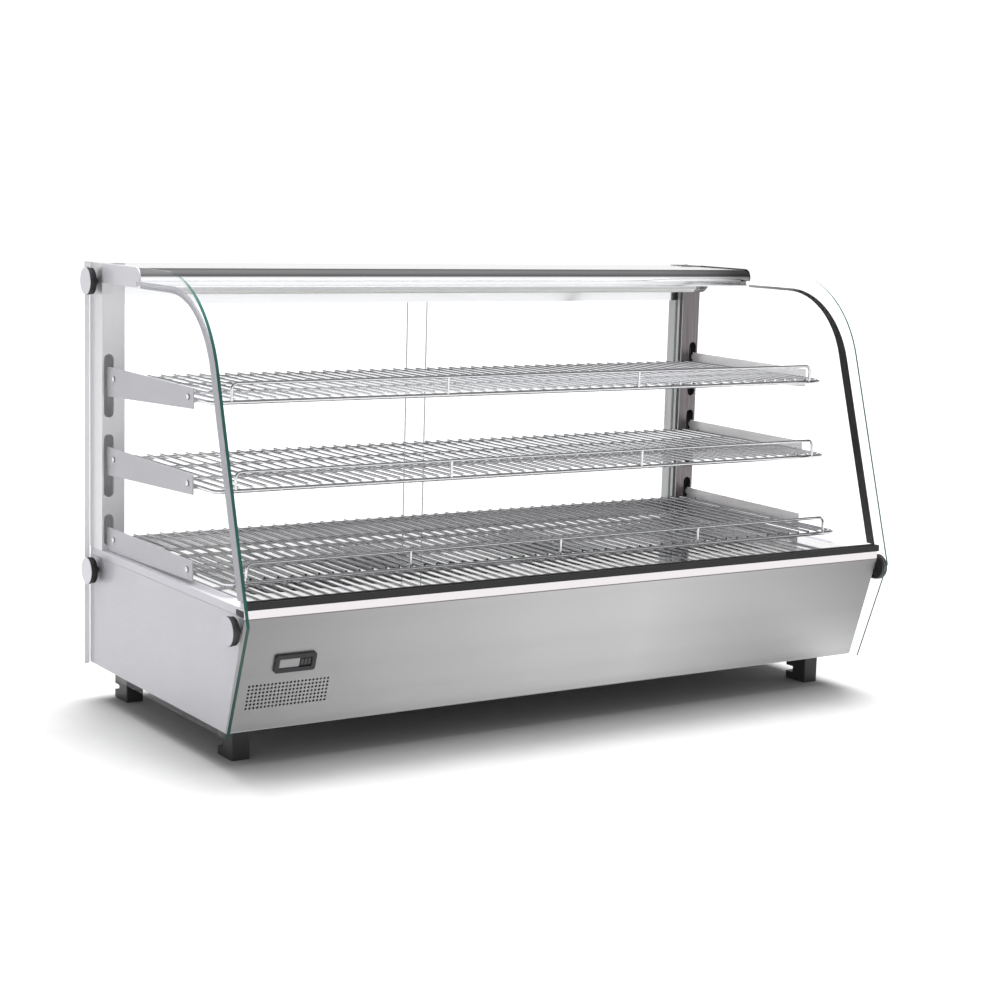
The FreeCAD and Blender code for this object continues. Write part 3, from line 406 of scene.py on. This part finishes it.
# Faces that look to the rear get painted shade, a darker copy of the same aluminium.
skin_tone = chosen(tree, looking_back(tree, places), bright, (0.50, 0.50, 0.515))
surfaced(tree, shader, skin_tone, lines, 1.0, (0.10, 0.16), 0.000003)
give(canopy_skin, "canopy")
white_coat = textured("white_lamp_coat", (0.80, 0.80, 0.80), 0.02, 0.0, (0.4, 0.5), (1, 1, 1), 200.0)
give(white_coat, "lamp_housing")
sheath = textured("heater_sheath", (0.30, 0.28, 0.26), 0.15, 0.9, (0.4, 0.6), (1, 1, 1), 120.0)
give(sheath, "heater_left", "heater_right", "temperature_probe")

# %% [markdown]
# ### The hot deck
# The deck is polished between the shelves and satin along its two ends, where it was covered while
# the middle was buffed. The distance from the middle of the case tells the ends.

# %% Finish the deck
SATIN_RIM = 0.026
deck_steel, tree, shader, places = finish_named("polished_deck_steel")
drawn_lines = noise(tree, places, (0.5, 20.0, 20.0), 30.0)
distance = math_node(tree, "ABSOLUTE", parts_of(tree, places.outputs["Object"])["X"])
on_rim = math_node(tree, "GREATER_THAN", distance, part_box("deck_plate")[1].x - SATIN_RIM)
polished = ramp(tree, drawn_lines, [(0.3, (0.90, 0.895, 0.90)), (0.7, (0.94, 0.935, 0.94))])
tree.links.new(chosen(tree, on_rim, polished, (0.44, 0.435, 0.47)), shader.inputs["Base Color"])
smooth = scaled(tree, drawn_lines, 0.03, 0.07)
satin = math_node(tree, "MULTIPLY", on_rim, 0.38)
tree.links.new(math_node(tree, "ADD", smooth, satin), shader.inputs["Roughness"])
tree.links.new(scaled(tree, on_rim, 1.0, 0.35), shader.inputs["Metallic"])
bumped(tree, shader, drawn_lines, 0.00001)
give(deck_steel, "deck_plate")

# %% [markdown]
# ### Shelf brackets
# Both sets are the same folded arm. The left set has the cool satin coat of the side panels; the right
# set stands against the light and reads almost white, so it gets painted light: a far brighter copy of
# the same coat.

# %% Finish the brackets
# The right tone is painted light, a far brighter copy of the left coat.
coat_tones_with_painted_light = {"left": (0.325, 0.32, 0.35), "right": (0.90, 0.88, 0.89)}
for side, colour in coat_tones_with_painted_light.items():
    coat = textured("bracket_coat_" + side, colour, 0.03, 0.25, (0.34, 0.46), (1, 1, 1), 160.0)
    give(coat, *[n for n in nodes if n.startswith("bracket_") and n.endswith(side)])

# %% [markdown]
# ### Posts
# The left post is bright folded steel, with painted shade on the face that looks back. The right post
# is seen from inside: its door jamb looks left and stays light, the face with the bracket slots looks
# to the front and gets painted shade, darker and warmer, and the step between them is painted shadow,
# a dark groove. The direction and the place of a point tell them apart.

# %% Finish the posts
left_steel, tree, shader, places = finish_named("post_steel_left")
grain = noise(tree, places, (30.0, 30.0, 0.6), 25.0)
bright = ramp(tree, grain, [(0.3, (0.57, 0.565, 0.585)), (0.7, (0.59, 0.585, 0.605))])
# The face that looks back gets painted shade, a darker copy of the same steel.
post_tone = chosen(tree, looking_back(tree, places), bright, (0.40, 0.40, 0.415))
surfaced(tree, shader, post_tone, grain, 0.7, (0.3, 0.4), 0.00001)
give(left_steel, "post_left")
right_steel, tree, shader, places = finish_named("post_steel_right")
grain = noise(tree, places, (40.0, 40.0, 0.5), 20.0, 5.0)
facing = parts_of(tree, places.outputs["Normal"])
place = parts_of(tree, places.outputs["Object"])
post_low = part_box("post_right")[0]
looks_left = math_node(tree, "LESS_THAN", facing["X"], -0.5)
FACE_THICKNESS = 0.002
JAMB_START = 0.016
behind_face = math_node(tree, "GREATER_THAN", place["Y"], post_low.y + FACE_THICKNESS)
before_jamb = math_node(tree, "LESS_THAN", place["Y"], post_low.y + JAMB_START)
in_shadow_gap = math_node(tree, "MULTIPLY", behind_face, before_jamb)
# The slot face is painted shade: a darker, warmer copy of the jamb's steel.
shaded_slot_face = ramp(tree, grain, [(0.25, (0.11, 0.096, 0.10)), (0.75, (0.25, 0.225, 0.235))])
light = ramp(tree, grain, [(0.3, (0.34, 0.34, 0.345)), (0.7, (0.42, 0.42, 0.425))])
tone = chosen(tree, looks_left, shaded_slot_face, light)
# The step between the faces is painted shadow, near black.
tone = chosen(tree, in_shadow_gap, tone, (0.035, 0.034, 0.036))
surfaced(tree, shader, tone, grain, 0.8, (0.26, 0.40), 0.000006)
give(right_steel, "post_right")

# %% [markdown]
# ### End caps and glass fixings
# The canopy's left end is coated like the side panel and its right end is black. Each fixing is a
# turned disc with a satin face and a blackened rim, so it takes its tone from which way it faces. The
# two front discs get painted shade: their faces are a little darker than the rear ones. The bracket
# rivets have dark rims too.

# %% Finish the end caps and the fixings
end_coat, tree, shader, places = finish_named("canopy_end_coat")
speck = noise(tree, places, (1, 1, 1), 300.0)
right_end = math_node(tree, "GREATER_THAN", parts_of(tree, places.outputs["Object"])["X"], 0.0)
grey = ramp(tree, speck, [(0.3, (0.44, 0.436, 0.47)), (0.7, (0.48, 0.475, 0.51))])
end_tone = chosen(tree, right_end, grey, (0.02, 0.02, 0.022))
surfaced(tree, shader, end_tone, speck, 0.2, (0.34, 0.44), 0.000006)
give(end_coat, "canopy_end_caps")

disc_steel, tree, shader, places = finish_named("fixing_disc_steel")
turning = noise(tree, places, (1, 1, 1), 900.0)
facing = parts_of(tree, places.outputs["Normal"])
rim = math_node(tree, "LESS_THAN", math_node(tree, "ABSOLUTE", facing["X"]), 0.45)
rear_face = ramp(tree, turning, [(0.3, (0.50, 0.495, 0.525)), (0.7, (0.53, 0.525, 0.555))])
front_face = ramp(tree, turning, [(0.3, (0.41, 0.406, 0.436)), (0.7, (0.43, 0.426, 0.456))])
at_front = math_node(tree, "LESS_THAN", parts_of(tree, places.outputs["Object"])["Y"], 0.0)
# The front discs get painted shade, a little darker than the rear ones.
face = chosen(tree, at_front, rear_face, front_face)
disc_tone = chosen(tree, rim, face, (0.035, 0.035, 0.037))
surfaced(tree, shader, disc_tone, turning, 0.5, (0.34, 0.42), 0.000001)
give(disc_steel, "glass_caps")

rivet_steel, tree, shader, places = finish_named("rivet_steel")
speck = noise(tree, places, (1, 1, 1), 400.0)
facing = parts_of(tree, places.outputs["Normal"])
rim = math_node(tree, "LESS_THAN", math_node(tree, "ABSOLUTE", facing["X"]), 0.8)
head = ramp(tree, speck, [(0.3, (0.62, 0.62, 0.64)), (0.7, (0.68, 0.68, 0.70))])
rivet_tone = chosen(tree, rim, head, (0.06, 0.06, 0.065))
surfaced(tree, shader, rivet_tone, speck, 0.6, (0.2, 0.3), 0.000004)
give(rivet_steel, "bracket_rivets")

# %% [markdown]
# ## Chrome wire and the chrome nose
# The shelves are welded wire with a bright chrome plate. Plate follows the wire's small bends, so
# only a soft, very shallow ripple breaks its mirror.

# %% Finish the chrome
chrome = textured("chrome_plate", (0.72, 0.72, 0.735), 0.02, 1.0, (0.05, 0.11), (1, 1, 1), 90.0, 0.00002)
give(chrome, *[n for n in nodes if n.startswith(("shelf_", "guard_"))])

# %% [markdown]
# ### The nose
# The nose is a plated half-round bar. Towards its right end it turns dark: a painted reflection of the
# dark surroundings that end mirrors. Its ripple is stretched along the bar, as rolling leaves it.

# %% Finish the nose
nose_chrome, tree, shader, places = finish_named("chrome_nose_plate")
ripple = noise(tree, places, (0.25, 6.0, 6.0), 20.0)
DARK_REFLECTION_FROM = 0.38
# Towards the right end the plate is darkened: painted reflection of dark surroundings.
along = progress(tree, parts_of(tree, places.outputs["Object"])["X"], DARK_REFLECTION_FROM, case_high.x)
painted_dark_reflection = ramp(tree, along, [(0.0, 1.0), (0.45, 0.75), (0.75, 0.30), (1.0, 0.16)])
plate = ramp(tree, ripple, [(0.3, (0.82, 0.82, 0.84)), (0.7, (0.86, 0.86, 0.88))])
surfaced(tree, shader, multiplied(tree, plate, painted_dark_reflection), ripple, 1.0, (0.06, 0.12), 0.00003)
give(nose_chrome, "canopy_nose")

# %% [markdown]
# ## Rubber and plastic
# Gaskets are matt black rubber, and the sill gasket is grey on its cut ends. The strip beside the
# left pane is a satin grey one. The feet, the controller's frame, the fans and the inlet are moulded
# black plastic, whose fine spark-eroded texture is noise at well under a millimetre.

# %% Finish the rubber and plastic
rubber = textured("black_gasket_rubber", (0.006, 0.006, 0.006), 0.2, 0.0, (0.55, 0.7), (1, 1, 1), 900.0)
give(rubber, "glass_seal_right", "glass_washers")
strip = textured("grey_edge_strip", (0.24, 0.234, 0.265), 0.03, 0.3, (0.3, 0.4), (1, 1, 1), 120.0)
give(strip, "glass_seal_left")
sill_rubber, tree, shader, places = finish_named("sill_rubber")
grit = noise(tree, places, (1, 1, 1), 900.0)
sideways = math_node(tree, "ABSOLUTE", parts_of(tree, places.outputs["Normal"])["X"])
cut_end = math_node(tree, "GREATER_THAN", sideways, 0.5)
black = ramp(tree, grit, [(0.3, 0.005), (0.7, 0.0072)])
sill_tone = chosen(tree, cut_end, black, (0.42, 0.415, 0.45))
surfaced(tree, shader, sill_tone, grit, 0.0, (0.55, 0.7), 0.00001)
give(sill_rubber, "sill_seal")
moulded = textured("black_moulded_plastic", (0.014, 0.014, 0.016), 0.25, 0.0, (0.35, 0.5), (1, 1, 1),
                   1600.0)
give(moulded, "feet", "controller_bezel", "controller_body", "fan_frames", "fan_rotor_left",
     "fan_rotor_right", "switch_housing", "power_inlet", "terminal_block", "door_glides_left",
     "door_glides_right")
keys = textured("grey_key_plastic", (0.035, 0.035, 0.038), 0.15, 0.0, (0.3, 0.4), (1, 1, 1), 1200.0)
give(keys, "controller_key_1", "controller_key_2", "controller_key_3", "power_rocker")
window = textured("smoked_window", (0.30, 0.30, 0.305), 0.06, 0.3, (0.08, 0.16), (1, 1, 1), 80.0)
give(window, "controller_window")
frosted = textured("frosted_lamp_cover", (0.88, 0.88, 0.86), 0.02, 0.0, (0.5, 0.6), (1, 1, 1), 500.0)
give(frosted, "lamp_diffuser")

# %% [markdown]
# ## Glass
# Looking straight through a flat pane nothing bends, so the pane is a clear see-through shader with a
# mirror mixed in: a little head on and more at a glancing angle. The Facing output of Layer Weight
# gives that rule for both faces of the pane. Real glass mirrors more than this at a glancing angle; the
# share is held down so that the pane never hides the shelves. A fully refracting shader would look much
# the same but would stop lamp light from reaching them. The cut edges are different: light runs the long way
# through them and comes out bottle green. Which faces are edges is told by the direction they face.


# %% Helpers for the panes
def clear_body(tree, places, passes):
    """See-through shader with a glancing mirror; passes is how much of each colour gets through."""
    clear = tree.nodes.new("ShaderNodeBsdfTransparent")
    smear = noise(tree, places, (1, 1, 1), 3.0)
    tint = ramp(tree, smear, [(0.3, tuple(p * 0.998 for p in passes)), (0.7, passes)])
    tree.links.new(tint, clear.inputs["Color"])
    mirror = tree.nodes.new("ShaderNodeBsdfGlossy")
    mirror.inputs["Color"].default_value = (1.0, 1.0, 1.0, 1.0)
    mirror.inputs["Roughness"].default_value = 0.0
    glance = tree.nodes.new("ShaderNodeLayerWeight")
    glance.inputs["Blend"].default_value = 0.5
    share = math_node(tree, "POWER", glance.outputs["Facing"], 5.0)
    body = tree.nodes.new("ShaderNodeMixShader")
    tree.links.new(scaled(tree, share, 0.015, 0.30), body.inputs["Fac"])
    tree.links.new(clear.outputs["BSDF"], body.inputs[1])
    tree.links.new(mirror.outputs["BSDF"], body.inputs[2])
    return body.outputs["Shader"]


def blended(tree, share, first, second):
    """Two shaders mixed by a pattern."""
    node = tree.nodes.new("ShaderNodeMixShader")
    tree.links.new(share, node.inputs["Fac"])
    tree.links.new(first, node.inputs[1])
    tree.links.new(second, node.inputs[2])
    return node.outputs["Shader"]


def outer_side(tree):
    """1 where a surface is met from outside, 0 where it is met from within the glass."""
    surface = tree.nodes.new("ShaderNodeNewGeometry")
    return math_node(tree, "LESS_THAN", surface.outputs["Backfacing"], 0.5)


REAR_SKIN = 0.0006


def pane_glass(name, passes, edge_colour, edge_share, ground_rear=None):
    """A pane's material. edge_share makes the pattern that says where the tinted edge shows, and
    ground_rear is the tone of a rear edge that is ground matt."""
    material, tree, shader, places = finish_named(name)
    clouds = noise(tree, places, (1, 1, 1), 25.0)
    edge = ramp(tree, clouds, [(0.3, tuple(c * 0.8 for c in edge_colour)), (0.7, edge_colour)])
    shader.inputs["Roughness"].default_value = 0.12
    share = edge_share(tree, places)
    if ground_rear:
        depth = parts_of(tree, places.outputs["Object"])["Y"]
        at_rear = math_node(tree, "GREATER_THAN", depth, case_high.y - REAR_SKIN)
        edge = chosen(tree, at_rear, edge, ground_rear)
        share = math_node(tree, "MAXIMUM", share, at_rear)
    tree.links.new(edge, shader.inputs["Base Color"])
    whole = blended(tree, share, clear_body(tree, places, passes), shader.outputs["BSDF"])
    tree.links.new(whole, tree.nodes["Material Output"].inputs["Surface"])
    return material


# %% [markdown]
# ### The side panes
# The green shows on the front edge only, and fades out where the edge turns up over the top. It is
# deepest along the face that is further right, where the light has come through the most glass. The
# rear edge is ground matt and shows pale grey through the pane.


# %% Finish the side panes
def front_edge_share(tree, places, pane, green_part):
    """1 on the green part of a side pane's front edge, 0 on the rest of the pane."""
    low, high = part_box(pane)
    facing = parts_of(tree, places.outputs["Normal"])
    frontness = math_node(tree, "MULTIPLY", facing["Y"], -1.6, clamp=True)
    frontness = math_node(tree, "MULTIPLY", frontness, outer_side(tree))
    across = parts_of(tree, places.outputs["Object"])["X"]
    start = high.x - green_part * (high.x - low.x)
    green = math_node(tree, "GREATER_THAN", across, start)
    return math_node(tree, "MULTIPLY", frontness, green, clamp=True)


for side, green_part in (("left", 0.62), ("right", 0.38)):
    pane = "side_glass_" + side
    share = lambda tree, places, pane=pane, part=green_part: front_edge_share(tree, places, pane, part)
    give(pane_glass("side_pane_" + side, (0.996, 0.998, 0.997), (0.017, 0.062, 0.052), share,
                    (0.74, 0.74, 0.755)), pane)

# %% [markdown]
# ### The front pane and the doors
# Their edges are ground grey. On the front pane the ends face along the length and show from outside
# only; on the doors every face that does not look front or back is an edge, and it shows through the
# glass too.


# %% Finish the front pane and the doors
def end_share(axis, below, strength, outside_only):
    """Edge pattern from how much a face looks along one axis."""
    def share(tree, places):
        facing = parts_of(tree, places.outputs["Normal"])
        size = math_node(tree, "ABSOLUTE", facing[axis])
        edge = math_node(tree, "LESS_THAN" if below else "GREATER_THAN", size, 0.5)
        if outside_only:
            edge = math_node(tree, "MULTIPLY", edge, outer_side(tree))
        return math_node(tree, "MULTIPLY", edge, strength)
    return share


CLEAR = (0.997, 0.998, 0.998)
give(pane_glass("front_pane", CLEAR, (0.30, 0.295, 0.33), end_share("X", False, 0.85, True)), "front_glass")
give(pane_glass("door_pane", CLEAR, (0.14, 0.17, 0.165), end_share("Y", True, 0.85, False)),
     "door_glass_left", "door_glass_right")

# %% [markdown]
# ### Clear finger pulls
# The doors are pushed along by small pulls of clear acrylic glued to the glass. They are all but
# invisible from the front, so they get the see-through body with a little more glint.

# %% Finish the pulls
acrylic, tree, shader, places = finish_named("clear_acrylic")
body = clear_body(tree, places, (0.985, 0.988, 0.99))
haze = math_node(tree, "MULTIPLY", noise(tree, places, (1, 1, 1), 120.0), 0.10)
milk = ramp(tree, noise(tree, places, (1, 1, 1), 60.0), [(0.3, 0.80), (0.7, 0.88)])
tree.links.new(milk, shader.inputs["Base Color"])
shader.inputs["Roughness"].default_value = 0.15
whole = blended(tree, haze, body, shader.outputs["BSDF"])
tree.links.new(whole, tree.nodes["Material Output"].inputs["Surface"])
give(acrylic, "door_handle_left", "door_handle_right")

# %% [markdown]
# ## Small fastenings
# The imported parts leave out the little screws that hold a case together. A real button-head screw is
# a low dome with a six-sided socket. One is built as rings of points round an axis, from the rim over
# the dome and down into the socket, where the ring changes from a circle to a hexagon. The same
# function then sets one at each place, looking along the direction it is driven from.

# %% Build the screws
SCREW_RADIUS = 0.0036
SCREW_RISE = 0.0020
RING_POINTS = 24


def ring_radius(share, angle, hexagonal):
    """Radius of one ring at an angle: a circle, or a hexagon with the given inner radius."""
    if not hexagonal:
        return share * SCREW_RADIUS
    sector = math.radians(60.0)
    return share * SCREW_RADIUS / math.cos((angle + sector / 2) % sector - sector / 2)


def add_screw(shape, centre, axis, rise_scale):
    """One button-head screw; axis points out of the sheet."""
    turn = Vector(axis).to_track_quat("Z", "Y").to_matrix()
    rings = ((1.0, 0.0, False), (1.0, 0.25, False), (0.93, 0.62, False), (0.76, 0.88, False),
             (0.55, 1.0, False), (0.46, 1.0, True), (0.44, 0.35, True))
    previous = None
    for share, rise, hexagonal in rings:
        current = []
        for i in range(RING_POINTS):
            angle = 2 * math.pi * i / RING_POINTS
            radius = ring_radius(share, angle, hexagonal)
            height = rise * SCREW_RISE * rise_scale
            point = Vector((radius * math.cos(angle), radius * math.sin(angle), height))
            current.append(shape.verts.new(Vector(centre) + turn @ point))
        if previous:
            for i in range(RING_POINTS):
                j = (i + 1) % RING_POINTS
                shape.faces.new((previous[i], previous[j], current[j], current[i]))
        else:
            shape.faces.new(current[::-1])
        previous = current
    shape.faces.new(previous)


def screws(name, places, axis, rise_scale=1.0):
    """A row of screws as one piece that rides with the cabinet."""
    shape = bmesh.new()
    for place in places:
        add_screw(shape, place, axis, rise_scale)
    mesh = bpy.data.meshes.new(name)
    shape.to_mesh(mesh)
    shape.free()
    obj = bpy.data.objects.new(name, mesh)
    scene.collection.objects.link(obj)
    mesh.materials.append(screw_steel)
    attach(obj, "cabinet")
    print(name, "has", len(places), "screws")


screw_steel = textured("screw_steel", (0.66, 0.66, 0.67), 0.04, 1.0, (0.2, 0.32), (1, 1, 1), 500.0)
print("screw heads are", 2000 * SCREW_RADIUS, "mm across")

# %% [markdown]
# ### Where the screws go
# A rear panel has to come off for service, so it is held along its two long rims. The canopy is held
# from behind as well, by flatter screws that stay within the case's depth.

# %% Set the screws
low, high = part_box("rear_panel")
margin = 0.010
rim_x = [low.x + margin + (high.x - low.x - 2 * margin) * i / 6 for i in range(7)]
rear_places = [(x, high.y, z) for x in rim_x for z in (low.z + margin, high.z - margin)]
screws("rear_panel_screws", rear_places, (0, 1, 0))
low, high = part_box("canopy")
middle = (low.z + high.z) / 2
canopy_places = [(x, high.y, middle) for x in (-0.46, -0.15, 0.15, 0.46)]
screws("canopy_screws", canopy_places, (0, 1, 0), rise_scale=0.45)
